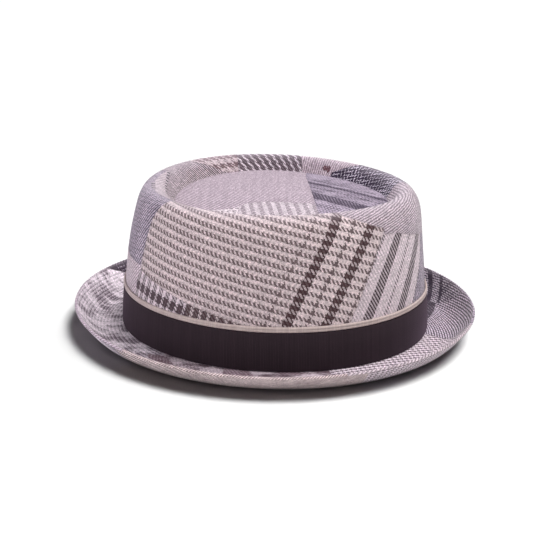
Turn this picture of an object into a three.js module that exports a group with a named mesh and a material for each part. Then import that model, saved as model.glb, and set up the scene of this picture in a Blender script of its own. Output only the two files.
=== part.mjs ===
// Porkpie hat in patchwork cloth: a teardrop crown with a dented top, a narrow
// brim that curls up at its edge, a ribbon band round the foot of the crown and
// a pale edging above the band.
//
// Millimetres, +Z up. The front of the hat points along +X. The origin lies on
// the floor, under the middle of the hat, which rests on the low ring of its brim.

import * as THREE from 'three';

// Cloth
const clothThickness = 1.8;

// Crown, measured outside
const crownLength = 205.6;
const crownWidth = 170;
const crownHeight = 96;
const frontLean = 15;
const backLean = 22.4;
const sideLean = 16;
const teardrop = 0.13;
const tipTeardrop = 0.21;

// Dent in the top, from the crest down to the edge of the tip
const dentFront = 12;
const dentBack = 16;
const dentSide = 4.5;
const dentDepth = 10.4;
const tipDome = 3;

// Brim
const brimFront = 31;
const brimSide = 33.2;
const brimDip = 1.2;
const lipFront = 16;
const lipBack = 17.5;
const lipSide = 15;
const lipRounding = 0.35;

// Ribbon band and the edging above it
const gap = 0.3;
const bandHeight = 25.2;
const bandThickness = 1;
const edgingHeight = 3.4;
const edgingThickness = 1.2;

// Steps round the hat
const columns = 72;

// Heights that follow from the sizes above
const joinHeight = clothThickness + brimDip;
const bandFoot = joinHeight + gap;
const bandTop = bandFoot + bandHeight;
const edgingFoot = bandTop + gap;
const edgingTop = edgingFoot + edgingHeight;

// Sections of the crown's wall, from the brim to the crest. up is a share of
// the crown's height, front, back and side are shares of the leans, and point
// is a share of the teardrop.
const wallSections = [
  { up: 0.000, front: 0.00, back: 0.00, side: 0.00, point: 0.00 },
  { up: 0.080, front: 0.02, back: 0.02, side: 0.03, point: 0.00 },
  { up: 0.180, front: 0.05, back: 0.05, side: 0.07, point: 0.00 },
  { up: 0.330, front: 0.10, back: 0.11, side: 0.15, point: 0.08 },
  { up: 0.500, front: 0.18, back: 0.19, side: 0.25, point: 0.20 },
  { up: 0.680, front: 0.28, back: 0.33, side: 0.36, point: 0.40 },
  { up: 0.840, front: 0.37, back: 0.50, side: 0.48, point: 0.55 },
  { up: 0.920, front: 0.50, back: 0.62, side: 0.59, point: 0.68 },
  { up: 0.975, front: 0.72, back: 0.78, side: 0.77, point: 0.84 },
  { up: 1.000, front: 1.00, back: 1.00, side: 1.00, point: 1.00 },
];

// Sections of the dent, from the crest to the edge of the tip. inward is a
// share of the dent's width and down a share of its depth.
const dentSections = [
  { inward: 0.30, down: 0.06 },
  { inward: 0.55, down: 0.28 },
  { inward: 0.75, down: 0.62 },
  { inward: 1.00, down: 1.00 },
];

// Sections of the tip, from its edge to its middle. size is a share of the
// tip's outline and rise a share of the dome.
const tipSections = [
  { size: 0.88, rise: 0.18 },
  { size: 0.68, rise: 0.50 },
  { size: 0.42, rise: 0.82 },
  { size: 0.18, rise: 0.97 },
];

// Sections of the brim, from the crown to the lip. out is a share of the
// brim's width, down a share of its dip and up a share of the lip's height
// over the low ring. rests marks the flat ring that the hat stands on.
const brimSections = [
  { out: 0.06, down: 0.10, up: 0.000, rests: false },
  { out: 0.22, down: 0.45, up: 0.000, rests: false },
  { out: 0.38, down: 1.00, up: 0.000, rests: true },
  { out: 0.52, down: 1.00, up: 0.004, rests: true },
  { out: 0.62, down: 1.00, up: 0.095, rests: false },
  { out: 0.72, down: 1.00, up: 0.260, rests: false },
  { out: 0.82, down: 1.00, up: 0.485, rests: false },
  { out: 0.91, down: 1.00, up: 0.735, rests: false },
  { out: 1.00, down: 1.00, up: 1.000, rests: false },
];

// The share of the way from the side value to the front or back value
function towardEnds(angle) {
  return Math.cos(angle) ** 2;
}

function mix(from, to, share) {
  return from + (to - from) * share;
}

// One point of an oval ring that reaches front, back and side from the middle,
// and narrows toward the front by the share point
function ovalPoint(angle, { front, back, side, point, height }) {
  const fullest = 1.54;
  const narrowing = 1 - point + point * fullest * Math.sin(angle / 2) ** 2;
  const x = (front + back) / 2 * Math.cos(angle) + (front - back) / 2;
  const y = side * Math.sin(angle) * narrowing;
  return new THREE.Vector3(x, y, height);
}

function wallOval({ up, front, back, side, point }) {
  return {
    front: crownLength / 2 - frontLean * front,
    back: crownLength / 2 - backLean * back,
    side: crownWidth / 2 - sideLean * side,
    point: teardrop * point,
    height: joinHeight + crownHeight * up,
  };
}

const crestOval = wallOval(wallSections.at(-1));

function dentOval({ inward, down }) {
  return {
    front: crestOval.front - dentFront * inward,
    back: crestOval.back - dentBack * inward,
    side: crestOval.side - dentSide * inward,
    point: mix(teardrop, tipTeardrop, inward),
    height: crestOval.height - dentDepth * down,
  };
}

const tipEdgeOval = dentOval(dentSections.at(-1));

// The tip shrinks toward the middle of its own outline.
function tipPoint(angle, { size, rise }) {
  const middle = new THREE.Vector3((tipEdgeOval.front - tipEdgeOval.back) / 2, 0, tipEdgeOval.height);
  const edge = ovalPoint(angle, tipEdgeOval);
  const place = middle.lerp(edge, size);
  place.z += tipDome * rise;
  return place;
}

function brimPoint(angle, { out, down, up }) {
  const ends = towardEnds(angle);
  const width = mix(brimSide, brimFront, ends) * out;
  const lipEnd = Math.cos(angle) > 0 ? lipFront : lipBack;
  const lip = mix(lipSide, lipEnd, ends);
  const x = (crownLength / 2 + width) * Math.cos(angle);
  const y = (crownWidth / 2 + width) * Math.sin(angle);
  const z = joinHeight - brimDip * down + (lip - clothThickness) * up;
  return new THREE.Vector3(x, y, z);
}

// The outer face of the crown's wall at a height, found between the sections
function wallPointAt(angle, height, outward) {
  const up = (height - joinHeight) / crownHeight;
  const above = wallSections.findIndex((section) => section.up >= up);
  const high = wallSections[Math.max(above, 1)];
  const low = wallSections[Math.max(above, 1) - 1];
  const share = (up - low.up) / (high.up - low.up);
  const oval = wallOval({
    up,
    front: mix(low.front, high.front, share),
    back: mix(low.back, high.back, share),
    side: mix(low.side, high.side, share),
    point: mix(low.point, high.point, share),
  });
  oval.front += outward;
  oval.back += outward;
  oval.side += outward;
  return ovalPoint(angle, oval);
}

function angleOf(column) {
  return 2 * Math.PI * column / columns;
}

function ringOf(pointAt) {
  return Array.from({ length: columns }, (_, column) => pointAt(angleOf(column)));
}

// The outer face of the hat, ring by ring, from the tip out to the lip
function outerRings() {
  const tip = [...tipSections].reverse().map((section) => ringOf((angle) => tipPoint(angle, section)));
  const dent = [...dentSections].reverse()
    .map((section) => ringOf((angle) => ovalPoint(angle, dentOval(section))));
  const wall = [...wallSections].reverse()
    .map((section) => ringOf((angle) => ovalPoint(angle, wallOval(section))));
  const brim = brimSections.map((section) => ringOf((angle) => brimPoint(angle, section)));
  return [...tip, ...dent, ...wall, ...brim];
}

// The direction out of the cloth at a point of a ring, from its neighbours
function outwardAt(rings, row, column) {
  const before = rings[Math.max(row - 1, 0)][column];
  const after = rings[Math.min(row + 1, rings.length - 1)][column];
  const left = rings[row][(column + columns - 1) % columns];
  const right = rings[row][(column + 1) % columns];
  const along = after.clone().sub(before);
  const round = right.clone().sub(left);
  return along.cross(round).normalize();
}

// The inner face lies one cloth thickness behind the outer one. Under the
// resting sections it is a flat ring on the floor.
function innerRings(rings) {
  const firstBrimRow = rings.length - brimSections.length;
  return rings.map((ring, row) => ring.map((place, column) => {
    const section = brimSections[row - firstBrimRow];
    if (section?.rests) {
      return new THREE.Vector3(place.x, place.y, 0);
    }
    const inner = place.clone().addScaledVector(outwardAt(rings, row, column), -clothThickness);
    inner.z = Math.max(inner.z, 0);
    return inner;
  }));
}

// The ring that rounds the lip, halfway between the two faces and a little out
function lipRing(outerLip, innerLip) {
  return outerLip.map((place, column) => {
    const middle = place.clone().lerp(innerLip[column], 0.5);
    const out = new THREE.Vector3(middle.x, middle.y, 0).normalize();
    out.z = 1;
    return middle.addScaledVector(out.normalize(), lipRounding);
  });
}

// Joins rings into faces. A pole closes the stack at an end, and where there
// are no poles the last ring meets the first one.
function shellGeometry(rings, firstPole = null, lastPole = null) {
  const places = rings.flat();
  const faces = [];
  const vertex = (row, column) => row * columns + column % columns;
  const closes = firstPole === null;
  const strips = closes ? rings.length : rings.length - 1;
  for (let row = 0; row < strips; row += 1) {
    const next = (row + 1) % rings.length;
    for (let column = 0; column < columns; column += 1) {
      const here = vertex(row, column);
      const beside = vertex(row, column + 1);
      const below = vertex(next, column);
      const across = vertex(next, column + 1);
      faces.push(here, below, across);
      faces.push(here, across, beside);
    }
  }
  if (!closes) {
    const first = places.push(firstPole) - 1;
    const last = places.push(lastPole) - 1;
    for (let column = 0; column < columns; column += 1) {
      faces.push(first, vertex(0, column), vertex(0, column + 1));
      faces.push(last, vertex(rings.length - 1, column + 1), vertex(rings.length - 1, column));
    }
  }
  const geometry = new THREE.BufferGeometry().setFromPoints(places);
  geometry.setIndex(faces);
  geometry.computeVertexNormals();
  return geometry;
}

// Crown and brim are one shell, because the hat is blocked and sewn as one body
function hatBodyGeometry() {
  const outer = outerRings();
  const inner = innerRings(outer);
  const lip = lipRing(outer.at(-1), inner.at(-1));
  const middleX = (tipEdgeOval.front - tipEdgeOval.back) / 2;
  const top = new THREE.Vector3(middleX, 0, tipEdgeOval.height + tipDome);
  const underTop = top.clone().setZ(top.z - clothThickness);
  return shellGeometry([...outer, lip, ...inner.reverse()], top, underTop);
}

// A ribbon that follows the crown's wall between two heights
function ribbonGeometry(foot, top, thickness) {
  const nearWall = gap;
  const face = gap + thickness;
  const middle = (foot + top) / 2;
  const corners = [
    { height: foot, outward: nearWall },
    { height: middle, outward: nearWall },
    { height: top, outward: nearWall },
    { height: top, outward: face },
    { height: middle, outward: face },
    { height: foot, outward: face },
  ];
  const rings = corners
    .map(({ height, outward }) => ringOf((angle) => wallPointAt(angle, height, outward)));
  return shellGeometry(rings);
}

function namedMesh(name, geometry, colour, roughness) {
  const material = new THREE.MeshStandardMaterial({ color: colour, roughness, metalness: 0 });
  const mesh = new THREE.Mesh(geometry, material);
  mesh.name = name;
  return mesh;
}

const hat = new THREE.Group();
hat.add(namedMesh('hat_body', hatBodyGeometry(), 0xb4a6ae, 0.9));
hat.add(namedMesh('hat_band', ribbonGeometry(bandFoot, bandTop, bandThickness), 0x33272c, 0.8));
hat.add(namedMesh('band_edging', ribbonGeometry(edgingFoot, edgingTop, edgingThickness), 0xb9aaa5, 0.8));

export default hat;
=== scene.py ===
import math

import bmesh
import bpy
import numpy as np
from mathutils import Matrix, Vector


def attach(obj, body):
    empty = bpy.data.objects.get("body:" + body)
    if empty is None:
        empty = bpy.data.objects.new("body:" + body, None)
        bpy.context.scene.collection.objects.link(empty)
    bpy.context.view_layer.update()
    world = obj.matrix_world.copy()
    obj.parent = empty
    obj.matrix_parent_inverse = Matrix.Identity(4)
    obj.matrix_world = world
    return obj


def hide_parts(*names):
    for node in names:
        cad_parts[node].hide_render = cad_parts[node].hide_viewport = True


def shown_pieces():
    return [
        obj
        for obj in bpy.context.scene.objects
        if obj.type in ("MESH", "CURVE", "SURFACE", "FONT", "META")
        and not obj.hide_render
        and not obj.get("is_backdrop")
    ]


# The looks of a porkpie hat in patchwork cloth. The crown and the brim are one
# piece of blocked cloth. Each patch on it is a woven cloth of its own, with its
# warp and weft threads laid over the flattened cloth. A ribbon and a pale edging
# go round the foot of the crown.
#
# Lengths are in millimetres until a mesh is made, and meshes are in metres.
# Angles run round the hat in degrees: 0 is its front, 90 its far side, 180 its
# back and 270 the side that faces the camera. The sizes are the CAD model's.

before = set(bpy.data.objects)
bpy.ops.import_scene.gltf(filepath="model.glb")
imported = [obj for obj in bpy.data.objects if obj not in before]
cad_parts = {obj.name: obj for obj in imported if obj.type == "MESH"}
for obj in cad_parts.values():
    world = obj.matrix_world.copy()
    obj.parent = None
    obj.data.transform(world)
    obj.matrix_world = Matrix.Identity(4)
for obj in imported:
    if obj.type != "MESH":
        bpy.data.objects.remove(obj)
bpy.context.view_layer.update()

MM = 0.001

# Cloth
cloth_thickness = 1.8

# Crown, measured outside
crown_length = 205.6
crown_width = 170
crown_height = 96
front_lean = 15
back_lean = 22.4
side_lean = 16
teardrop = 0.13
tip_teardrop = 0.21

# Dent in the top, from the crest down to the edge of the tip
dent_front = 12
dent_back = 16
dent_side = 4.5
dent_depth = 10.4
tip_dome = 3

# Brim
brim_front = 31
brim_side = 33.2
brim_dip = 1.2
lip_front = 16
lip_back = 17.5
lip_side = 15

# Ribbon band and the edging above it
ribbon_gap = 0.3
band_height = 25.2
band_thickness = 1
edging_height = 3.4
edging_thickness = 1.2

# Heights that follow from the sizes above
join_height = cloth_thickness + brim_dip
band_foot = join_height + ribbon_gap
band_top = band_foot + band_height
edging_foot = band_top + ribbon_gap
edging_top = edging_foot + edging_height

# Sections of the crown's wall from the brim to the crest: up, and the shares of
# the leans at the front, back and side and of the teardrop
WALL_SECTIONS = [
    (0.000, 0.00, 0.00, 0.00, 0.00),
    (0.080, 0.02, 0.02, 0.03, 0.00),
    (0.180, 0.05, 0.05, 0.07, 0.00),
    (0.330, 0.10, 0.11, 0.15, 0.08),
    (0.500, 0.18, 0.19, 0.25, 0.20),
    (0.680, 0.28, 0.33, 0.36, 0.40),
    (0.840, 0.37, 0.50, 0.48, 0.55),
    (0.920, 0.50, 0.62, 0.59, 0.68),
    (0.975, 0.72, 0.78, 0.77, 0.84),
    (1.000, 1.00, 1.00, 1.00, 1.00),
]

# Sections of the dent from the crest to the edge of the tip: inward and down
DENT_SECTIONS = [(0.30, 0.06), (0.55, 0.28), (0.75, 0.62), (1.00, 1.00)]

# Sections of the brim from the crown to the lip: out, down and up
BRIM_SECTIONS = [
    (0.00, 0.00, 0.000),
    (0.06, 0.10, 0.000),
    (0.22, 0.45, 0.000),
    (0.38, 1.00, 0.000),
    (0.52, 1.00, 0.004),
    (0.62, 1.00, 0.095),
    (0.72, 1.00, 0.260),
    (0.82, 1.00, 0.485),
    (0.91, 1.00, 0.735),
    (1.00, 1.00, 1.000),
]

# Cloth from the brim's join up to each section, on the side that faces the camera
CROWN_CLOTH = [0, 7.8, 17.3, 32, 48.3, 65.8, 81.5, 89.5, 95.7, 100.25, 101.8, 104.4, 108, 112.2]
CREST_CLOTH = CROWN_CLOTH[9]
TIP_EDGE_CLOTH = CROWN_CLOTH[-1]

# Cloth from the brim's join out to each of its sections
BRIM_CLOTH = [0, 2, 7.3, 12.6, 17.2, 20.8, 24.9, 29.5, 34, 38.6]
LIP_CLOTH = BRIM_CLOTH[-1]

# Cloth from the brim's join up to the ring on which distances round the crown are
# measured, and up to the point of the cone that the crown's wall is part of
MIDDLE_CLOTH = 48.3
CONE_POINT_CLOTH = 668


def mix(start, end, share):
    return start + (end - start) * share


def smooth_row(rows, at):
    """The values between the rows of a table, on a smooth curve through them"""
    rows = np.asarray(rows, float)
    low = np.clip(np.floor(at).astype(int), 0, len(rows) - 2)
    share = (at - low)[:, None]
    before = rows[np.maximum(low - 1, 0)]
    start = rows[low]
    end = rows[low + 1]
    after = rows[np.minimum(low + 2, len(rows) - 1)]
    straight = end - before
    bend = 2 * before - 5 * start + 4 * end - after
    twist = 3 * start - before - 3 * end + after
    return 0.5 * (2 * start + straight * share + bend * share ** 2 + twist * share ** 3)


def oval_point(angle, front, back, side, point, height):
    """A point of an oval ring that narrows toward the front by the share point"""
    back_widening = 1.54
    narrowing = 1 - point + point * back_widening * np.sin(angle / 2) ** 2
    x = (front + back) / 2 * np.cos(angle) + (front - back) / 2
    y = side * np.sin(angle) * narrowing
    return np.stack([x, y, height + 0 * angle], -1)


def crown_ovals():
    """Front, back and side reach, point and height of each section of the crown"""
    ovals = [
        (
            crown_length / 2 - front_lean * front,
            crown_length / 2 - back_lean * back,
            crown_width / 2 - side_lean * side,
            teardrop * point,
            join_height + crown_height * up,
        )
        for up, front, back, side, point in WALL_SECTIONS
    ]
    crest = ovals[-1]
    for inward, down in DENT_SECTIONS:
        ovals.append((
            crest[0] - dent_front * inward,
            crest[1] - dent_back * inward,
            crest[2] - dent_side * inward,
            mix(teardrop, tip_teardrop, inward),
            crest[4] - dent_depth * down,
        ))
    return ovals


CROWN_OVALS = crown_ovals()
TIP_OVAL = CROWN_OVALS[-1]
TIP_MIDDLE = (TIP_OVAL[0] - TIP_OVAL[1]) / 2


def crown_point(degrees, cloth):
    """The crown's outer face: round by degrees, and up by cloth from the join"""
    row = np.interp(cloth, CROWN_CLOTH, range(len(CROWN_CLOTH)))
    front, back, side, point, height = smooth_row(CROWN_OVALS, row).T
    return oval_point(np.radians(degrees), front, back, side, point, height)


def brim_point(degrees, cloth):
    """The brim's upper face: round by degrees, and out by cloth from the join"""
    angle = np.radians(degrees)
    row = np.interp(cloth, BRIM_CLOTH, range(len(BRIM_CLOTH)))
    out, down, up = smooth_row(BRIM_SECTIONS, row).T
    ends = np.cos(angle) ** 2
    width = mix(brim_side, brim_front, ends) * out
    lip_end = np.where(np.cos(angle) > 0, lip_front, lip_back)
    lip = mix(lip_side, lip_end, ends)
    x = (crown_length / 2 + width) * np.cos(angle)
    y = (crown_width / 2 + width) * np.sin(angle)
    z = join_height - brim_dip * down + (lip - cloth_thickness) * up
    return np.stack([x, y, z], -1)


def tip_point(x, y):
    """The tip's upper face over a point of its plan"""
    angles = np.linspace(-math.pi, math.pi, 721)
    edge = oval_point(angles, *TIP_OVAL)
    edge_turn = np.arctan2(edge[:, 1], edge[:, 0] - TIP_MIDDLE)
    edge_reach = np.hypot(edge[:, 0] - TIP_MIDDLE, edge[:, 1])
    order = np.argsort(edge_turn)
    turn = np.arctan2(y, x - TIP_MIDDLE)
    reach = np.interp(turn, edge_turn[order], edge_reach[order], period=2 * math.pi)
    share = np.minimum(np.hypot(x - TIP_MIDDLE, y) / reach, 1)
    height = TIP_OVAL[4] + tip_dome * (1 - share ** 2)
    return np.stack([x, y, height], -1)


def wall_point(degrees, height, outward):
    """A point beside the crown's outer face at a height, outward from it"""
    heights = [oval[4] for oval in CROWN_OVALS[:len(WALL_SECTIONS)]]
    row = np.interp(height + 0 * degrees, heights, range(len(heights)))
    front, back, side, point, _ = smooth_row(CROWN_OVALS, row).T
    angle = np.radians(degrees)
    return oval_point(angle, front + outward, back + outward, side + outward, point, height)


def lengths_round():
    """Distances round the crown for each degree of two turns"""
    degrees = np.arange(0, 721)
    ring = crown_point(degrees % 360, np.full(len(degrees), MIDDLE_CLOTH))
    steps = np.linalg.norm(np.diff(ring, axis=0), axis=1)
    return degrees, np.concatenate([[0], np.cumsum(steps)])


ROUND_DEGREES, ROUND_LENGTH = lengths_round()


def crown_flat(degrees, cloth, origin):
    """The crown's cloth laid flat, as part of a cone, with the origin at 0, 0"""
    start = np.interp(origin[0], ROUND_DEGREES, ROUND_LENGTH)
    reach = CONE_POINT_CLOTH - cloth
    turn = (np.interp(degrees, ROUND_DEGREES, ROUND_LENGTH) - start) / (CONE_POINT_CLOTH - MIDDLE_CLOTH)
    across = reach * np.sin(turn)
    along = CONE_POINT_CLOTH - origin[1] - reach * np.cos(turn)
    return across, along


def brim_flat(degrees, cloth, origin):
    """The brim's cloth, blocked so that its threads run round the hat"""
    widening = 1.16
    start = np.interp(origin[0], ROUND_DEGREES, ROUND_LENGTH)
    across = (np.interp(degrees, ROUND_DEGREES, ROUND_LENGTH) - start) * widening
    return across, cloth - origin[1]


def brim_plan_flat(degrees, cloth, origin):
    """The brim's cloth where its threads run straight, as in plan"""
    plan = brim_point(degrees, cloth)[:, :2] - brim_point(*np.array([origin], float).T)[:, :2]
    return plan.T


def tip_flat(x, y, origin):
    """The tip's cloth in plan, with the origin at 0, 0"""
    return x - origin[0], y - origin[1]


# Patches of the crown's wall and dent. Corners and origins are degrees round
# the hat and millimetres of cloth up from the brim. slope is the angle of the
# weft and lean that of the warp from upright, in degrees, on the flat cloth at
# the origin. The first patch that holds a place wins. flatten says how the cloth
# was laid flat, where that isn't as for its neighbours.
CROWN_PATCHES = [
    dict(cloth="dashed_line", origin=(190, 101), slope=0, lean=0,
         corners=[(192, 99.9), (204, 99.7), (204, 100.8), (192, 101)]),
    dict(cloth="dashed_line", origin=(185, 104), slope=0, lean=0,
         corners=[(171, 101.2), (182, 103.5), (199.5, 105.6), (199.5, 106.5), (182, 104.5), (171, 102.2)]),
    dict(cloth="dark_blocks", origin=(246.5, 36), slope=-8, lean=12,
         corners=[(246.5, 38.2), (268, 29.5), (276, 20), (246.5, 20)]),
    dict(cloth="block_row", origin=(220.8, 40), slope=-5, lean=13,
         corners=[(219.2, 48.5), (246.5, 38.2), (268, 29.5), (276, 20), (276, -1), (212, -1), (214, 20),
                  (215.7, 35), (216.2, 40)]),
    dict(cloth="glen_check", origin=(284.1, 30.6), slope=-16.3, lean=23.7,
         corners=[(228, 113), (225.3, 98), (221.6, 84), (219, 55), (219.2, 48.5), (268, 29.5), (276, 20),
                  (276, -1), (299, -1), (309, 32), (324.5, 84.8), (306.5, 97), (303, 102), (297, 113)]),
    dict(cloth="stripes", origin=(315.5, 29.8), slope=-20, lean=27,
         corners=[(324.5, 84.8), (309, 32), (299, -1), (334, -1), (342.8, 29.8), (352.8, 53), (355.2, 70.6),
                  (341, 75.6), (331, 80.6), (325, 81.4)]),
    dict(cloth="fine_twill", origin=(325, 90), slope=-30, lean=30,
         corners=[(297, 113), (303, 102), (306.5, 97), (324.5, 84.8), (325, 81.4), (331, 80.6), (341, 75.6),
                  (355.2, 70.6), (385, 62), (380, 100), (378, 113)]),
    dict(cloth="slate_twill", origin=(350, 40), slope=25, lean=-25,
         corners=[(355.2, 70.6), (352.8, 53), (342.8, 29.8), (334, -1), (396, -1), (390, 40), (385, 62)]),
    dict(cloth="charcoal_tweed", origin=(400, 100), slope=20, lean=-20,
         corners=[(378, 113), (380, 100), (385, 62), (414, 60), (413, 98), (431, 109), (432, 113)]),
    dict(cloth="brown_knot", origin=(434, 107), slope=0, lean=0,
         corners=[(432.3, 106.4), (433.4, 105), (434.6, 105.9), (436, 105.3), (437.2, 107.2), (436.1, 109),
                  (434.8, 108.5), (433.6, 110), (432.6, 108.4)]),
    dict(cloth="pink_twill", origin=(435, 105), slope=30, lean=-30,
         corners=[(432, 113), (431, 109), (413, 98), (414, 60), (449.1, 60), (449.1, 113)]),
    dict(cloth="bold_twill", origin=(100, 106), slope=0, lean=-24,
         corners=[(88.9, 113), (88.9, 60), (122, 60), (122.5, 100), (128, 113)]),
    dict(cloth="fine_stripes", origin=(160, 106), slope=0, lean=-20,
         corners=[(133, 113), (149, 101.5), (152, 60), (170, 52), (171, 101.2), (182, 103.6),
                  (199.5, 105.8), (206, 113)]),
    dict(cloth="brown_check", origin=(130, 106), slope=0, lean=-24,
         corners=[(128, 113), (122.5, 100), (122, 60), (152, 60), (149, 101.5), (133, 113)]),
    dict(cloth="slate_twill", origin=(215, 75), slope=10, lean=-10,
         corners=[(226.5, 101.4), (225.3, 98), (221.6, 84), (219, 55), (218.7, 51), (170, 52), (171, 101.2),
                  (180, 101), (193, 100.8), (210, 100.3)]),
    dict(cloth="pale_twill", origin=(195, 106), slope=10, lean=-10,
         corners=[(206, 113), (199.5, 105.8), (182, 103.6), (171, 101.2), (180, 101), (193, 100.8),
                  (210, 100.3), (226.5, 101.4), (228, 113)]),
    dict(cloth="pink_twill", origin=(205, 40), slope=0, lean=0,
         corners=[(218.7, 51), (219.2, 48.5), (216.2, 40), (215.7, 35), (214, 20), (212, -1), (150, -1),
                  (150, 52), (182, 51)]),
    dict(cloth="glen_check", origin=(120, 20), slope=8, lean=-8,
         corners=[(88.9, 60), (88.9, -1), (150, -1), (150, 60)]),
    dict(cloth="stripes", origin=(420, 10), slope=-10, lean=10,
         corners=[(385, 62), (396, -1), (449.1, -1), (449.1, 60)]),
]

# Patches of the tip, with corners and origins in plan
TIP_PATCHES = [
    dict(cloth="pale_knots", origin=(-25, -30), slope=10, lean=-20,
         corners=[(-38, -80), (-34, -38), (-25, -35), (-18, -30.5), (-15, -27), (-12.5, -80)]),
    dict(cloth="pale_bars", origin=(0, -30), slope=10, lean=-20,
         corners=[(-12, -80), (-15, -23), (-3, -17), (30, -13), (32, -18), (36, -30), (40, -80)]),
    dict(cloth="slate_stripes", origin=(46, -4), slope=68, lean=112,
         corners=[(8, 75), (12, 48), (32, -18), (36, -30), (40, -80), (90, -80), (90, 75)]),
    dict(cloth="mauve_twill", origin=(0, 0), slope=12, lean=-12,
         corners=[(-90, 80), (20, 80), (60, -80), (-90, -80)]),
]

# Patches of the brim. Corners are degrees and millimetres of cloth out from the crown.
BRIM_PATCHES = [
    # This dark plum patch beside the band is partly cloth of its own and partly painted shade from the band
    dict(cloth="dark_plum", origin=(375, 10), slope=0, lean=0,
         corners=[(368, -1), (373.5, 2.7), (382, 10.8), (388, 16.5), (390, 18.9), (394, 17), (399, 13),
                  (404, 8), (412, -1)]),
    dict(cloth="plum_ladder", origin=(400, 29), slope=-6, lean=40,
         corners=[(384, 60), (383, 33), (390, 18.9), (394, 17), (399, 13), (404, 8), (412, -1), (420, -1),
                  (420, 60)]),
    dict(cloth="plum_cloud", origin=(270, 0), slope=0, lean=0,
         corners=[(263, 2), (267, 0.5), (271.5, 1), (276, 11), (273, 13), (268, 8), (264, 9)]),
    dict(cloth="plum_cloud", origin=(285, 0), slope=0, lean=0,
         corners=[(281, 1), (284, -1), (288, -1), (291, 3), (289, 5), (284, 4)]),
    dict(cloth="plum_cloud", origin=(238, 8), slope=0, lean=0,
         corners=[(233, 7.5), (238, 4), (243, 6), (246, 9), (240, 11), (235, 10.5)]),
    dict(cloth="dark_plum", origin=(160, 30), slope=0, lean=0,
         corners=[(150, 25), (158, 31), (166, 39), (160, 60), (140, 60)]),
    dict(cloth="mauve_ikat", origin=(205, 10), slope=4, lean=-4,
         corners=[(162, -1), (158, 31), (166, 39), (166, 60), (238, 60), (238, -1)]),
    dict(cloth="plum_ikat", origin=(250, 10), slope=-5, lean=5,
         corners=[(238, -1), (238, 60), (300, 60), (300, -1)]),
    dict(cloth="small_check", origin=(310, 10), slope=30, lean=-30, flatten=brim_plan_flat,
         corners=[(300, -1), (300, 60), (352, 60), (357, -1)]),
    dict(cloth="plum_pinstripe", origin=(360, 10), slope=-14, lean=14,
         corners=[(352, 60), (357, -1), (368, -1), (373.5, 2.7), (382, 10.8), (388, 16.5), (390, 18.9),
                  (383, 33), (384, 60)]),
    dict(cloth="stripes", origin=(430, 10), slope=0, lean=0,
         corners=[(420, -1), (420, 60), (449.1, 60), (449.1, -1)]),
    dict(cloth="fine_twill", origin=(110, 10), slope=0, lean=0,
         corners=[(88.9, -1), (88.9, 60), (135, 60), (135, -1)]),
    dict(cloth="plum_pinstripe", origin=(150, 10), slope=5, lean=-5,
         corners=[(135, -1), (135, 60), (162, 60), (162, -1)]),
]

# Cloths of the lip and of the brim's underside, each with the degrees where it ends
LIP_CLOTHS = [
    (162, "slate_twill"),
    (237, "mauve_twill"),
    (300, "lip_twill"),
    (352, "pale_twill"),
    (360, "slate_twill"),
]
UNDER_CLOTHS = [
    (162, "slate_twill"),
    (234, "mauve_ikat"),
    (306, "lip_twill"),
    (348, "small_check"),
    (360, "slate_twill"),
]


def srgb(code):
    """A hexadecimal colour as linear red, green, blue and alpha"""
    def linear(value):
        return value / 12.92 if value <= 0.04045 else ((value + 0.055) / 1.055) ** 2.4

    parts = [(code >> shift & 255) / 255 for shift in (16, 8, 0)]
    return (*map(linear, parts), 1)
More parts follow.
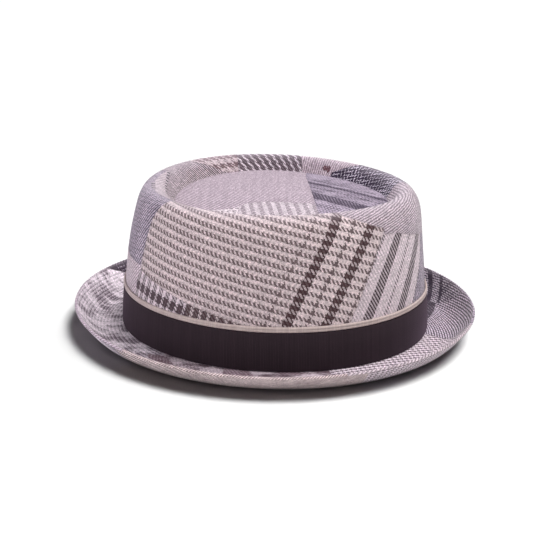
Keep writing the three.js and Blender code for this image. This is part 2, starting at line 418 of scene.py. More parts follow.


# Woven cloths. light and dark are the colours of their lightest and darkest threads.
# pitch is the width of a warp and of a weft thread. twill is 1 where the lines of
# the weave fall to the right and -1 where they rise. warp and weft list the threads
# in order, as counts of a tone. warp_first and weft_first are the number of the first
# thread, counted from the patch's origin. shows is how many warp threads of four lie
# on top. The deep weft shade is the tone that the weft has at least, as painted shade,
# where it lies deep in a dark stripe of warp. mottle is the depth of the cloth's
# blotches and how often they come, and clouds is how closely they are packed along
# each axis. ikat is the share of its tone that the cloth keeps between them.
CLOTHS = {
    "glen_check": dict(
        light=0xD6C4C6, dark=0x422A2E, pitch=(0.74, 0.675), twill=1,
        warp=[(190, "pairs"), (2, "thin"), (11, "pairs"), (9, "dark"), (10, "light"), (2, "thin"),
              (10, "light"), (9, "dark"), (10, "light"), (2, "thin"), (40, "light")],
        warp_first=-207, weft=[(4, "thin"), (4, "light")], shows=1.7, deep_weft_shade=0.35),
    "block_row": dict(
        light=0xDACAD1, dark=0x432F37, pitch=(0.756, 0.675), twill=1,
        warp=[(5, "dark"), (3, "light")], weft=[(60, "light"), (9, "thin"), (60, "light")],
        weft_first=-69, shows=1.4, deep_weft_shade=0.3),
    "dark_blocks": dict(
        light=0xCCBCBE, dark=0x4A363A, pitch=(0.756, 0.675), twill=1,
        warp=[(5, "dark"), (3, "light")], weft=[(8, "middling")], deep_weft_shade=0.7),
    "stripes": dict(
        light=0xE2D1D8, dark=0x36242C, pitch=(0.75, 0.56), twill=1,
        warp=[(9, "dark"), (10, "faint"), (3, "thin"), (10, "faint")], warp_first=-4,
        weft=[(8, "light")], deep_weft_shade=0.42),
    "fine_twill": dict(
        light=0xD8C8D1, dark=0x80707A, pitch=(0.54, 0.54), twill=-1, warp=[(8, "light")],
        weft=[(8, "dark")], mottle=(0.25, 0.12)),
    "slate_twill": dict(
        light=0xCCBCCC, dark=0x463A4C, pitch=(0.7, 0.72), twill=-1,
        warp=[(2, "dark"), (1, "middling")], weft=[(3, "light"), (1, "faint")], mottle=(0.2, 0.1)),
    "dashed_line": dict(
        light=0xC6B6BE, dark=0x2E222C, pitch=(2.2, 2.2), twill=1, warp=[(1, "dark"), (1, "light")],
        weft=[(8, "light")], shows=4),
    "charcoal_tweed": dict(
        light=0xEEE2F2, dark=0x34283C, pitch=(0.66, 0.66), twill=1,
        warp=[(2, "dark"), (1, "light"), (3, "dark"), (1, "middling"), (1, "light"), (2, "dark")],
        weft=[(2, "dark"), (1, "light"), (2, "dark"), (1, "faint"), (1, "dark"), (1, "light")],
        mottle=(0.55, 0.14)),
    "dark_plum": dict(
        light=0xB4A2B4, dark=0x372A38, pitch=(0.6, 0.62), twill=1,
        warp=[(2, "dark"), (1, "middling")], weft=[(1, "faint"), (2, "dark"), (1, "middling")],
        mottle=(0.5, 0.16)),
    "plum_cloud": dict(
        light=0xCCB8C2, dark=0x6A525C, pitch=(0.7, 0.7), twill=1, warp=[(8, "middling")],
        weft=[(1, "dark"), (1, "faint")], mottle=(0.4, 0.25)),
    "bold_twill": dict(
        light=0xF4E8F0, dark=0x58464F, pitch=(0.7, 0.92), twill=1, warp=[(5, "dark"), (3, "light")],
        weft=[(8, "middling")]),
    "brown_check": dict(
        light=0xDCCACF, dark=0x6E5459, pitch=(0.7, 0.72), twill=1, warp=[(4, "middling"), (4, "light")],
        weft=[(4, "dark"), (4, "light")]),
    "brown_knot": dict(
        light=0xB89CA2, dark=0x6A474E, pitch=(0.62, 0.6), twill=1,
        warp=[(2, "dark"), (1, "faint")], weft=[(1, "dark"), (2, "middling")], mottle=(0.3, 0.2)),
    "fine_stripes": dict(
        light=0xCEBEC6, dark=0x46363E, pitch=(0.9, 0.7), twill=1,
        warp=[(1, "dark"), (1, "light")], weft=[(8, "faint")], shows=4),
    "pale_twill": dict(
        light=0xDCCDD4, dark=0x96868E, pitch=(0.66, 0.62), twill=1, warp=[(8, "light")],
        weft=[(8, "dark")], mottle=(0.3, 0.1)),
    "pink_twill": dict(
        light=0xE2D2DA, dark=0x9A8690, pitch=(0.66, 0.66), twill=-1, warp=[(8, "light")],
        weft=[(8, "dark")], mottle=(0.15, 0.1)),
    "pale_knots": dict(
        light=0xE0D2D9, dark=0x84747E, pitch=(0.9, 1.2), twill=1,
        warp=[(1, "dark"), (3, "light")], weft=[(2, "light"), (1, "dark")]),
    "pale_bars": dict(
        light=0xD4C6CE, dark=0x7C6B77, pitch=(0.72, 0.7), twill=1,
        warp=[(4, "light"), (4, "dark")], weft=[(1, "light"), (1, "faint")]),
    "slate_stripes": dict(
        light=0xCBBBCE, dark=0x3A2A42, pitch=(0.7, 0.66), twill=1,
        warp=[(8, "faint"), (2, "middling"), (6, "faint"), (6, "dark"), (8, "faint"), (3, "middling"),
              (12, "faint"), (16, "dark"), (4, "faint"), (34, "pairs")],
        warp_first=-52, weft=[(1, "middling"), (2, "faint")], deep_weft_shade=0.6, mottle=(0.3, 0.2)),
    "mauve_twill": dict(
        light=0xD2C1CD, dark=0x8C7A86, pitch=(0.7, 0.8), twill=1, warp=[(8, "light")],
        weft=[(8, "dark")], mottle=(0.1, 0.06)),
    "mauve_ikat": dict(
        light=0xFCEEF8, dark=0x5E4A5A, pitch=(0.62, 0.8), twill=-1, warp=[(8, "faint")],
        weft=[(1, "middling"), (1, "faint"), (1, "light")], shows=1, mottle=(0.54, 0.13), ikat=0.38,
        clouds=(450, 900, 250)),
    "plum_ikat": dict(
        light=0xD4C2CB, dark=0x543E48, pitch=(0.66, 0.8), twill=1, warp=[(8, "faint")],
        weft=[(1, "dark"), (1, "faint"), (1, "middling"), (1, "light"), (1, "thin"), (1, "light"),
              (1, "dark"), (1, "faint")], shows=1, mottle=(0.66, 0.14), ikat=0.52),
    "lip_twill": dict(
        light=0xEEDCDC, dark=0x806A6E, pitch=(0.42, 0.42), twill=1, warp=[(8, "light")],
        weft=[(8, "dark")], mottle=(0.38, 0.25)),
    "small_check": dict(
        light=0xDFD0D9, dark=0x5C4654, pitch=(0.76, 0.7), twill=1,
        warp=[(2, "dark"), (2, "light")], weft=[(2, "middling"), (2, "light")]),
    "plum_ladder": dict(
        light=0xD2C5D2, dark=0x3C2E40, pitch=(0.7, 0.8), twill=1,
        warp=[(16, "middling"), (3, "dark"), (8, "faint"), (5, "dark"), (22, "faint")], warp_first=-30,
        weft=[(1, "dark"), (1, "light")], shows=1, deep_weft_shade=0.8, mottle=(0.3, 0.16)),
    "plum_pinstripe": dict(
        light=0xDACADA, dark=0x40303F, pitch=(0.66, 0.9), twill=1, warp=[(8, "middling")],
        weft=[(1, "dark"), (1, "light")], shows=1),
}


class Nodes:
    """Adds nodes to a material and hands back their outputs"""

    def __init__(self, material):
        self.tree = material.node_tree

    def add(self, kind, inputs=(), **settings):
        made = self.tree.nodes.new(kind)
        for setting, value in settings.items():
            setattr(made, setting, value)
        for name, value in dict(inputs).items():
            socket = made.inputs[name]
            if isinstance(value, bpy.types.NodeSocket):
                self.tree.links.new(value, socket)
            else:
                socket.default_value = value
        return made

    def math(self, operation, *values, clamp=False):
        inputs = dict(enumerate(values))
        return self.add("ShaderNodeMath", inputs, operation=operation, use_clamp=clamp).outputs[0]

    def blend(self, share, start, end):
        inputs = {"Factor": share, "A": start, "B": end}
        return self.add("ShaderNodeMix", inputs, data_type="FLOAT").outputs[0]

    def tint(self, share, start, end, way="MIX"):
        made = self.add("ShaderNodeMix", data_type="RGBA", blend_type=way)
        for socket, value in zip((made.inputs[0], made.inputs[6], made.inputs[7]), (share, start, end)):
            if isinstance(value, bpy.types.NodeSocket):
                self.tree.links.new(value, socket)
            else:
                socket.default_value = value
        return made.outputs[2]

    def noise(self, vector, scale, detail=2.0, roughness=0.5):
        inputs = {"Vector": vector, "Scale": scale, "Detail": detail, "Roughness": roughness}
        return self.add("ShaderNodeTexNoise", inputs).outputs["Fac"]

    def between(self, value, low, high, start=0.0, end=1.0):
        inputs = {0: value, 1: low, 2: high, 3: start, 4: end}
        return self.add("ShaderNodeMapRange", inputs).outputs[0]

    def shade(self, colour, value, darkest, lightest, low=0.0, high=1.0):
        """Makes a colour darker or lighter as a value goes from low to high"""
        return self.tint(1.0, colour, self.between(value, low, high, darkest, lightest), "MULTIPLY")

    def off_middle(self, position):
        """How far off the middle of its thread a place is, up to a half at the edges"""
        return self.math("ABSOLUTE", self.math("SUBTRACT", self.math("FRACT", position), 0.5))

    def roundness(self, from_middle):
        """The relief of a round thread, from 1 at its middle to 0 at its edges"""
        fall = self.math("MULTIPLY", self.math("POWER", from_middle, 2.0), 4.0)
        return self.math("SUBTRACT", 1.0, fall)

    def chance(self, number):
        """A value from 0 to 1 that is the same wherever its number is"""
        noise = self.add("ShaderNodeTexWhiteNoise", {"W": number}, noise_dimensions="1D")
        return noise.outputs["Value"]


def new_material(name):
    """A material with its nodes and its shader"""
    material = bpy.data.materials.new(name)
    material.use_nodes = True
    return material, Nodes(material), material.node_tree.nodes["Principled BSDF"]


def finish_material(nodes, shader, colour, height, bump, depth, gloss):
    """Joins the colour and the relief to the shader, and sets how it shines"""
    relief = nodes.add("ShaderNodeBump", {"Height": height, "Strength": bump, "Distance": depth})
    nodes.tree.links.new(colour, shader.inputs["Base Color"])
    nodes.tree.links.new(relief.outputs[0], shader.inputs["Normal"])
    for name, value in gloss.items():
        shader.inputs[name].default_value = value


CLOTH_GLOSS = {
    "Roughness": 0.9,
    "Specular IOR Level": 0.2,
    "Sheen Weight": 0.15,
    "Sheen Roughness": 0.5,
}
LINING_GLOSS = {
    "Roughness": 0.95,
    "Specular IOR Level": 0.15,
}
RIBBON_GLOSS = {
    "Roughness": 0.85,
    "Specular IOR Level": 0.15,
    "Sheen Weight": 0.12,
    "Sheen Roughness": 0.45,
    "Sheen Tint": (0.9, 0.65, 0.9, 1),
}

# How dark a thread is. pairs stands for two darker threads and two light ones in turn.
TONES = {"light": 0.0, "faint": 0.3, "pairs": 0.42, "middling": 0.75, "thin": 0.85, "dark": 1.0}

# Threads after which the weave repeats itself
REPEAT = 4.0

# Lists with this many threads or more, and with a first thread, are laid out once
LAID_OUT_ONCE = 60


def thread_tone(nodes, number, threads, first):
    """How dark thread number is, from the list of threads"""
    if len(threads) == 1:
        return TONES[threads[0][1]]
    count = sum(width for width, _ in threads)
    to_middle = 0.5 - (first or 0)
    place = nodes.math("DIVIDE", nodes.math("ADD", number, to_middle), count)
    if first is None or count < LAID_OUT_ONCE:
        place = nodes.math("FRACT", place)
    ramp = nodes.add("ShaderNodeValToRGB", {"Fac": place})
    band = ramp.color_ramp
    band.interpolation = "CONSTANT"
    start = 0
    for step, (width, kind) in enumerate(threads):
        stop = band.elements[step] if step < 2 else band.elements.new(start / count)
        stop.position = start / count
        stop.color = (TONES[kind],) * 3 + (1,)
        start += width
    tone = ramp.outputs["Color"]
    if any(kind == "pairs" for _, kind in threads):
        # The first two threads of four are the darker pair
        in_pair = nodes.math("LESS_THAN", nodes.math("FLOORED_MODULO", number, REPEAT), 1.5)
        paired = nodes.math("MULTIPLY", in_pair, TONES["pairs"])
        is_pairs = nodes.math("COMPARE", tone, TONES["pairs"], 0.05)
        tone = nodes.blend(is_pairs, tone, paired)
    return tone


def cloth_material(name, light, dark, pitch, twill, warp, weft, warp_first=None, weft_first=None,
                   shows=2, deep_weft_shade=0.0, mottle=(0.0, 0.12), clouds=(400, 1000, 250), ikat=None):
    """A woven cloth, as CLOTHS describes it"""
    material, nodes, shader = new_material(name)
    place = nodes.add("ShaderNodeUVMap", uv_map="cloth").outputs["UV"]
    parts = nodes.add("ShaderNodeSeparateXYZ", {0: place})
    stray = 0.2
    waver = nodes.between(nodes.noise(place, 0.35), 0.3, 0.7, -stray, stray)
    across = nodes.math("DIVIDE", nodes.math("ADD", parts.outputs[0], waver), pitch[0])
    along = nodes.math("DIVIDE", nodes.math("SUBTRACT", parts.outputs[1], waver), pitch[1])
    warp_number = nodes.math("FLOOR", across)
    weft_number = nodes.math("FLOOR", along)

    # The warp lies on top over some threads of four, one thread further at each
    # row. In a dark stripe the weft lies deep between thick threads, darkened by painted shade.
    warp_tone = thread_tone(nodes, warp_number, warp, warp_first)
    weft_tone = thread_tone(nodes, weft_number, weft, weft_first)
    in_stripe = nodes.math("GREATER_THAN", warp_tone, TONES["dark"] - 0.05)
    stripe_weft_shade = nodes.between(in_stripe, 0.0, 1.0, 1.0, 1.1)
    weft_tone = nodes.math("MULTIPLY", weft_tone, stripe_weft_shade, clamp=True)
    weft_tone = nodes.math("MAXIMUM", weft_tone, nodes.math("MULTIPLY", in_stripe, deep_weft_shade))
    step = nodes.math("ADD", across, nodes.math("MULTIPLY", weft_number, float(twill)))
    step = nodes.math("FLOORED_MODULO", step, REPEAT)
    warp_shows = nodes.math("LESS_THAN", step, float(shows))
    tone = nodes.blend(warp_shows, weft_tone, warp_tone)

    # The blotches stay in place on the hat, whichever way the threads run
    on_hat = nodes.add("ShaderNodeTexCoord").outputs["Object"]
    packed = nodes.add("ShaderNodeVectorMath", {0: on_hat, 1: clouds}, operation="MULTIPLY").outputs[0]
    mottle_depth, mottle_scale = mottle
    blotch = nodes.noise(packed, mottle_scale, detail=4.0, roughness=0.6)
    blotch = nodes.between(blotch, 0.42, 0.6)
    if ikat is not None:
        tone = nodes.math("MULTIPLY", tone, nodes.between(blotch, 0.0, 1.0, ikat, 1.0))
    tone = nodes.math("ADD", tone, nodes.math("MULTIPLY", blotch, mottle_depth), clamp=True)
    colour = nodes.tint(tone, srgb(light), srgb(dark))

    # Each thread is round, so its edges are lower, and painted shade darkens them
    from_middle = nodes.blend(warp_shows, nodes.off_middle(along), nodes.off_middle(across))
    relief = nodes.roundness(from_middle)
    colour = nodes.shade(colour, relief, 0.72, 1.04)

    # No two threads are dyed quite alike, and each is thicker in some places. The
    # warp's numbers are moved on, so that they differ from the weft's.
    moved_on = nodes.math("ADD", warp_number, 500.0)
    dye = nodes.chance(nodes.blend(warp_shows, weft_number, moved_on))
    colour = nodes.shade(colour, dye, 0.9, 1.06)
    crossing = nodes.add("ShaderNodeCombineXYZ", {0: warp_number, 1: weft_number}).outputs[0]
    slub = nodes.add("ShaderNodeTexWhiteNoise", {0: crossing}, noise_dimensions="2D").outputs["Value"]
    colour = nodes.shade(colour, slub, 0.74, 1.22)
    fibre = nodes.noise(place, 0.5, detail=3.0, roughness=0.6)
    colour = nodes.shade(colour, fibre, 0.86, 1.14, low=0.38, high=0.62)

    # The cloth is worn paler on the crest and the lip, and painted there with a pale lilac highlight,
    # and a seam is a narrow groove with painted shade along it
    wear_and_highlight_paling = 0.18
    painted_seam_shade = 0.3
    seam_depth = 2.0
    wear_and_highlight = nodes.add("ShaderNodeAttribute", attribute_name="wear_and_highlight").outputs["Fac"]
    colour = nodes.tint(nodes.math("MULTIPLY", wear_and_highlight, wear_and_highlight_paling), colour, srgb(0xE2D6E2))
    seam = nodes.add("ShaderNodeAttribute", attribute_name="seam").outputs["Fac"]
    # Painted shade darkens the cloth along the seam's groove
    colour = nodes.tint(nodes.math("MULTIPLY", seam, painted_seam_shade), colour, srgb(dark))
    height = nodes.math("SUBTRACT", relief, nodes.math("MULTIPLY", seam, seam_depth))
    finish_material(nodes, shader, colour, height, bump=0.5, depth=0.00015, gloss=CLOTH_GLOSS)
    return material


def lining_material():
    """The plain back of the cloth"""
    material, nodes, shader = new_material("cloth_back")
    place = nodes.add("ShaderNodeTexCoord").outputs["Object"]
    fibre = nodes.noise(place, 900.0, detail=3.0)
    colour = nodes.tint(nodes.between(fibre, 0.3, 0.7), srgb(0x9A8E95), srgb(0xC2B6BC))
    finish_material(nodes, shader, colour, fibre, bump=0.4, depth=0.0002, gloss=LINING_GLOSS)
    return material


CLOTH_MATERIALS = {name: cloth_material(name, **cloth) for name, cloth in CLOTHS.items()}
LINING = lining_material()


def inside(x, y, corners):
    """Whether a point lies inside a polygon"""
    held = False
    for (from_x, from_y), (to_x, to_y) in zip(corners, corners[1:] + corners[:1]):
        if (from_y > y) != (to_y > y) and x < from_x + (y - from_y) * (to_x - from_x) / (to_y - from_y):
            held = not held
    return held


def flat_grid(columns, rows):
    """A flat mesh with a vertex at each pair of a column and a row"""
    mesh = bmesh.new()
    grid = [[mesh.verts.new((column, row, 0)) for column in columns] for row in rows]
    for low, high in zip(grid, grid[1:]):
        for column in range(len(columns) - 1):
            mesh.faces.new((low[column], low[column + 1], high[column + 1], high[column]))
    return mesh


def tip_grid(columns, shares):
    """The tip's plan as rings round its middle"""
    mesh = bmesh.new()
    middle = mesh.verts.new((TIP_MIDDLE, 0, 0))
    angles = np.linspace(0, 2 * math.pi, columns, endpoint=False)
    edge = oval_point(angles, *TIP_OVAL)
    rings = []
    for share in shares:
        ring = [(mix(TIP_MIDDLE, x, share), y * share, 0) for x, y, _ in edge]
        rings.append([mesh.verts.new(corner) for corner in ring])
    for column in range(columns):
        beside = (column + 1) % columns
        mesh.faces.new((middle, rings[0][column], rings[0][beside]))
        for inner, outer in zip(rings, rings[1:]):
            mesh.faces.new((inner[column], outer[column], outer[beside], inner[beside]))
    return mesh


def cut_along(mesh, corners, reach=6):
    """Cuts a flat mesh along a polygon's sides, and a little way past their ends"""
    for start, end in zip(corners, corners[1:] + corners[:1]):
        start = Vector((*start, 0))
        side = Vector((*end, 0)) - start
        length = side.length
        side.normalize()
        near = [
            face for face in mesh.faces
            if -reach < (face.calc_center_median() - start).dot(side) < length + reach
        ]
        parts = set(near)
        for face in near:
            parts.update(face.edges)
            parts.update(face.verts)
        across = Vector((side.y, -side.x, 0))
        bmesh.ops.bisect_plane(mesh, geom=list(parts), dist=1e-4, plane_co=start, plane_no=across)


class Cloth:
    """Collects the faces of a piece of cloth, zone by zone"""

    def __init__(self):
        self.materials = []
        self.places = []
        self.faces = []
        self.face_materials = []
        self.threads = []
        self.seams = []
        self.wear_and_highlight = []

    def material_number(self, material):
        if material not in self.materials:
            self.materials.append(material)
        return self.materials.index(material)

    def add_patches(self, mesh, patches, surface, flatten, wear_and_highlight):
        """Cuts a flat mesh into patches and lays it on its surface"""
        for patch in patches:
            cut_along(mesh, patch["corners"])
        mesh.verts.index_update()
        flat = np.array([vertex.co[:2] for vertex in mesh.verts])
        start = len(self.places)
        touched = [set() for _ in mesh.verts]
        for face in mesh.faces:
            centre = face.calc_center_median()
            number = next(
                (n for n, patch in enumerate(patches) if inside(centre.x, centre.y, patch["corners"])),
                len(patches) - 1,
            )
            patch = patches[number]
            corners = [vertex.index for vertex in face.verts]
            for corner in corners:
                touched[corner].add(number)
            lay = patch.get("flatten", flatten)
            across, along = lay(flat[corners, 0], flat[corners, 1], patch["origin"])
            slope = math.radians(patch["slope"])
            lean = math.radians(patch["lean"])
            warp_way = across * math.cos(lean) - along * math.sin(lean)
            weft_way = along * math.cos(slope) - across * math.sin(slope)
            self.faces.append([start + corner for corner in corners])
            self.face_materials.append(self.material_number(CLOTH_MATERIALS[patch["cloth"]]))
            self.threads.extend(zip(warp_way, weft_way))
        self.places.extend(surface(flat[:, 0], flat[:, 1]))
        self.seams.extend(float(len(numbers) > 1) for numbers in touched)
        self.wear_and_highlight.extend(wear_and_highlight(flat[:, 0], flat[:, 1]))
        mesh.free()

    def add_rings(self, rings, materials):
        """Joins rings of points into a strip, with a material for each column"""
        count = len(rings[0])
        numbers = [self.material_number(material) for material in materials]
        start = len(self.places)
        down = 0.0
        downs = [0.0]
        for ring, following in zip(rings, rings[1:]):
            down += float(np.linalg.norm(following[0] - ring[0]))
            downs.append(down)
        round_step = float(np.linalg.norm(rings[-1][1] - rings[-1][0]))
        for ring in rings:
            self.places.extend(ring)
            self.seams.extend([0.0] * count)
            self.wear_and_highlight.extend([0.0] * count)
        for row in range(len(rings) - 1):
            for column in range(count):
                beside = (column + 1) % count
                self.faces.append([
                    start + row * count + column,
                    start + (row + 1) * count + column,
                    start + (row + 1) * count + beside,
                    start + row * count + beside,
                ])
                self.face_materials.append(numbers[column])
                left = column * round_step
                right = left + round_step
                near, far = downs[row], downs[row + 1]
                self.threads.extend([(left, near), (left, far), (right, far), (right, near)])

    def piece(self, name):
        """The object made of what was collected"""
        mesh = bpy.data.meshes.new(name)
        mesh.from_pydata((np.array(self.places) * MM).tolist(), [], self.faces)
        for material in self.materials:
            mesh.materials.append(material)
        mesh.polygons.foreach_set("material_index", self.face_materials)
        mesh.polygons.foreach_set("use_smooth", [True] * len(self.faces))
        threads = mesh.uv_layers.new(name="cloth")
        threads.data.foreach_set("uv", np.array(self.threads, np.float32).ravel())
        for attribute, values in (("seam", self.seams), ("wear_and_highlight", self.wear_and_highlight)):
            layer = mesh.attributes.new(attribute, "FLOAT", "POINT")
            layer.data.foreach_set("value", np.array(values, np.float32))
        mesh.update()
        piece = bpy.data.objects.new(name, mesh)
        bpy.context.scene.collection.objects.link(piece)
        return piece


def behind(surface, first, second, distance):
    """Points of a surface moved back from its outer face"""
    nudge = 0.05
    along_first = surface(first + nudge, second) - surface(first - nudge, second)
    along_second = surface(first, second + nudge) - surface(first, second - nudge)
    out = np.cross(along_first, along_second)
    out /= np.linalg.norm(out, axis=1)[:, None]
    return surface(first, second) - out * distance


def hat_cloth():
    """The crown and the brim in patched cloth, as zones that meet edge to edge"""
    cloth = Cloth()
    columns = 180
    back_columns = 120
    seam_degrees = 89
    crest_spread = 4.5
    lip_spread = 2.0

    # The crest and the lip are paled for wear and with a painted highlight
    def crest_wear_and_highlight(_, cloth_up):
        return np.exp(-((cloth_up - CREST_CLOTH) / crest_spread) ** 2)

    def lip_wear_and_highlight(_, cloth_out):
        return np.exp(-((cloth_out - LIP_CLOTH) / lip_spread) ** 2)

    def no_wear_or_highlight(x, _):
        return np.zeros(len(x))

    # The outer face: the wall and the dent, the tip, and the brim. Rows lie closer
    # from the crest inward, where the cloth bends.
    degrees = seam_degrees + np.linspace(0, 360, columns + 1)
    rows = np.concatenate([np.linspace(0, 84, 21), np.linspace(85.6, TIP_EDGE_CLOTH, 18)])
    cloth.add_patches(flat_grid(degrees, rows), CROWN_PATCHES, crown_point, crown_flat, crest_wear_and_highlight)
    shares = np.sqrt(np.linspace(0, 1, 13)[1:])
    cloth.add_patches(tip_grid(columns, shares), TIP_PATCHES, tip_point, tip_flat, no_wear_or_highlight)
    rows = np.linspace(0, LIP_CLOTH, 21)
    cloth.add_patches(flat_grid(degrees[::-1], rows), BRIM_PATCHES, brim_point, brim_flat, lip_wear_and_highlight)

    round_degrees = np.linspace(0, 360, back_columns, endpoint=False)

    def back_ring(surface, cloth_at, inward):
        ring = behind(surface, round_degrees, np.full(back_columns, float(cloth_at)), inward)
        ring[:, 2] = np.maximum(ring[:, 2], 0)
        return ring

    def in_patches(cloths):
        names = [next(name for end, name in cloths if at < end) for at in round_degrees]
        return [CLOTH_MATERIALS[name] for name in names]

    # A rounded bead closes the cloth's edge at the lip. It bulges outward and up.
    bead_bulge = 0.55
    bead_outward = 0.8
    bead_upward = 0.6
    outer_lip = brim_point(round_degrees, np.full(back_columns, float(LIP_CLOTH)))
    inner_lip = back_ring(brim_point, LIP_CLOTH - 0.06, -cloth_thickness)
    middle = (outer_lip + inner_lip) / 2
    out = middle * (1, 1, 0)
    out /= np.linalg.norm(out, axis=1)[:, None]
    out = out * bead_outward + (0, 0, bead_upward)
    bead = [outer_lip]
    for turn in (0.2, 0.4, 0.6, 0.8):
        swing = math.pi * turn
        bead.append(middle + (outer_lip - middle) * math.cos(swing) + out * bead_bulge * math.sin(swing))
    bead.append(inner_lip)
    cloth.add_rings(bead, in_patches(LIP_CLOTHS))

    # The brim's underside
    under = [back_ring(brim_point, at, -cloth_thickness) for at in np.linspace(LIP_CLOTH - 2, 20, 9)]
    cloth.add_rings([inner_lip] + under, in_patches(UNDER_CLOTHS))

    # The back of the cloth, from the foot of the hat up into the crown. It stops
    # short of the tip's middle, which leaves a small hole on the inside.
    foot_rows = (20, 17, 14, 11, 8, 5, 2.5)
    wall_rows = (0.5, 6, 14, 24, 36, 50, 66, 80, 88, 93, 97)
    dent_rows = (100, 102, 105, 108.5, 111.8)
    back = [back_ring(brim_point, at, -cloth_thickness) for at in foot_rows]
    back += [back_ring(crown_point, at, cloth_thickness) for at in wall_rows + dent_rows]
    edge = oval_point(np.radians(round_degrees), *TIP_OVAL)
    for share in (0.96, 0.8, 0.6, 0.4, 0.2, 0.02):
        ring = tip_point(mix(TIP_MIDDLE, edge[:, 0], share), edge[:, 1] * share)
        back.append(ring - (0, 0, cloth_thickness))
    cloth.add_rings(back, [LINING] * back_columns)
    return cloth.piece("hat_cloth")


hat = hat_cloth()
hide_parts("hat_body")
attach(hat, "root")


def ribbon_material(name, light, dark, rib):
    """A ribbon with fine upright ribs of the given width, with painted shade at their edges"""
    material, nodes, shader = new_material(name)
    place = nodes.add("ShaderNodeUVMap", uv_map="cloth").outputs["UV"]
    parts = nodes.add("ShaderNodeSeparateXYZ", {0: place})
    across = nodes.math("DIVIDE", parts.outputs[0], rib)
    relief = nodes.roundness(nodes.off_middle(across))
    dye = nodes.chance(nodes.math("FLOOR", across))
    fibre = nodes.noise(place, 1.3, detail=3.0)
    # Each rib is lighter in its middle and darker at its edges as painted shade, and the ribs are dyed a
    # little unevenly
    tone = nodes.math("MULTIPLY", relief, nodes.between(dye, 0.0, 1.0, 0.55, 1.0))
    tone = nodes.math("MULTIPLY", tone, nodes.between(fibre, 0.3, 0.7, 0.7, 1.1), clamp=True)
    colour = nodes.tint(tone, srgb(dark), srgb(light))
    finish_material(nodes, shader, colour, relief, bump=0.6, depth=0.0001, gloss=RIBBON_GLOSS)
    return material


def ribbon(name, node, foot, top, profile, material):
    """A ribbon round the crown. profile lists shares of its height and distances from the wall."""
    cloth = Cloth()
    columns = 240
    degrees = np.linspace(0, 360, columns, endpoint=False)

    # The ribbon isn't drawn up quite evenly all round
    slack = 0.12 * np.sin(np.radians(degrees * 3 + 40)) + 0.08 * np.sin(np.radians(degrees * 7))
    rings = []
    for share, outward in profile + profile[:1]:
        rings.append(wall_point(degrees, mix(foot, top, share), outward + slack))
    cloth.add_rings(rings, [material] * columns)
    piece = cloth.piece(name)
    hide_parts(node)
    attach(piece, "root")


band_face = ribbon_gap + band_thickness
ribbon(
    "band_ribbon", "hat_band", band_foot, band_top,
    [(0.0, ribbon_gap), (0.0, band_face - 0.4), (0.012, band_face - 0.1), (0.03, band_face),
     (0.5, band_face + 0.05), (0.97, band_face), (0.988, band_face - 0.1), (1.0, band_face - 0.4),
     (1.0, ribbon_gap), (0.5, ribbon_gap)],
    ribbon_material("band_ribbon", light=0x35292F, dark=0x261D22, rib=0.85),
)

# The edging has two rounded ridges with a groove between them
edging_face = ribbon_gap + edging_thickness
ribbon(
    "edging_ribbon", "band_edging", edging_foot, edging_top,
    [(0.0, ribbon_gap), (0.0, edging_face - 0.6), (0.1, edging_face - 0.15), (0.27, edging_face),
     (0.43, edging_face - 0.15), (0.5, edging_face - 0.4), (0.57, edging_face - 0.15), (0.73, edging_face),
     (0.9, edging_face - 0.15), (1.0, edging_face - 0.6), (1.0, ribbon_gap), (0.5, ribbon_gap)],
    ribbon_material("edging_ribbon", light=0xD0C0BC, dark=0xA08E8A, rib=0.6),
)


def collection(name, members):
    """A collection of objects that a light falls on alone"""
    made = bpy.data.collections.new(name)
    for member in members:
        made.objects.link(member)
    return made


def soft_light(name, toward, strength, width, tint=(1, 1, 1), receivers=None):
    """A far light, so many degrees wide, from a direction. It may light its receivers alone."""
    lamp = bpy.data.lights.new(name, "SUN")
    lamp.color = tint
    lamp.energy = strength
    lamp.angle = math.radians(width)
    light = bpy.data.objects.new(name, lamp)
    light.rotation_euler = Vector(toward).to_track_quat("Z", "Y").to_euler()
    light.light_linking.receiver_collection = receivers
    bpy.context.scene.collection.objects.link(light)


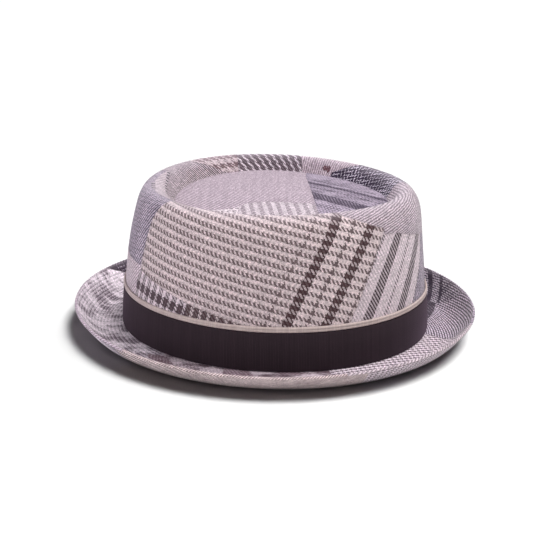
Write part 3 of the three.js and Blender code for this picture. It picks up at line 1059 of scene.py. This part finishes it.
def pale_floor():
    """A wide floor just under the hat, in metres"""
    half = 6
    gap = 0.0001
    corners = [(-half, -half, 0), (half, -half, 0), (half, half, 0), (-half, half, 0)]
    mesh = bpy.data.meshes.new("floor")
    mesh.from_pydata(corners, [], [(0, 1, 2, 3)])
    floor = bpy.data.objects.new("floor", mesh)
    floor.location.z = -gap
    bpy.context.scene.collection.objects.link(floor)
    material, _, shader = new_material("floor")
    shader.inputs["Base Color"].default_value = (0.45, 0.45, 0.45, 1)
    shader.inputs["Roughness"].default_value = 0.9
    shader.inputs["Specular IOR Level"].default_value = 0.1
    mesh.materials.append(material)
    floor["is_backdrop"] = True
    return floor


def studio():
    """A pale floor and soft light, mostly from above"""
    world = bpy.data.worlds.new("studio")
    world.use_nodes = True
    background = world.node_tree.nodes["Background"]
    background.inputs["Color"].default_value = (1, 1, 1, 1)
    background.inputs["Strength"].default_value = 0.04
    bpy.context.scene.world = world
    bpy.context.scene.view_settings.view_transform = "Standard"
    soft_light("softbox", toward=(0.37, 0.14, 1), strength=3.35, width=32)

    # The floor has more light of its own, and the fills are kept off it, so that
    # it is white and the shadow under the brim stays dark
    floor_only = collection("floor only", [pale_floor()])
    soft_light("floor light", toward=(0.42, 0.27, 1), strength=5.1, width=32, receivers=floor_only)
    hat_only = collection("hat only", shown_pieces())
    soft_light("front fill", toward=(-0.1, -1, 0.4), strength=1.38, width=70, receivers=hat_only)
    soft_light("back fill", toward=(0.1, 1, 0.6), strength=0.85, width=90, receivers=hat_only)
    soft_light("side fill", toward=(-1, -0.35, 0.25), strength=1.45, width=60,
               tint=(0.9, 0.88, 1), receivers=hat_only)


def camera():
    """The photograph's view, in its frame of 550 by 550"""
    azimuth = math.radians(12.5)
    elevation = math.radians(20)
    distance = 0.9
    target = Vector((0, 0, 0.055))
    frame_width = 550
    focal_pixels = 1347.5
    right_of_centre = -1.35
    above_centre = 29.13
    back = Vector((
        math.sin(azimuth) * math.cos(elevation),
        -math.cos(azimuth) * math.cos(elevation),
        math.sin(elevation),
    ))
    data = bpy.data.cameras.new("camera")
    data.sensor_width = 36
    data.lens = data.sensor_width * focal_pixels / frame_width
    data.shift_x = -right_of_centre / frame_width
    data.shift_y = -above_centre / frame_width
    eye = bpy.data.objects.new("camera", data)
    eye.location = target + back * distance
    eye.rotation_euler = back.to_track_quat("Z", "Y").to_euler()
    bpy.context.scene.collection.objects.link(eye)
    bpy.context.scene.camera = eye


studio()
camera()
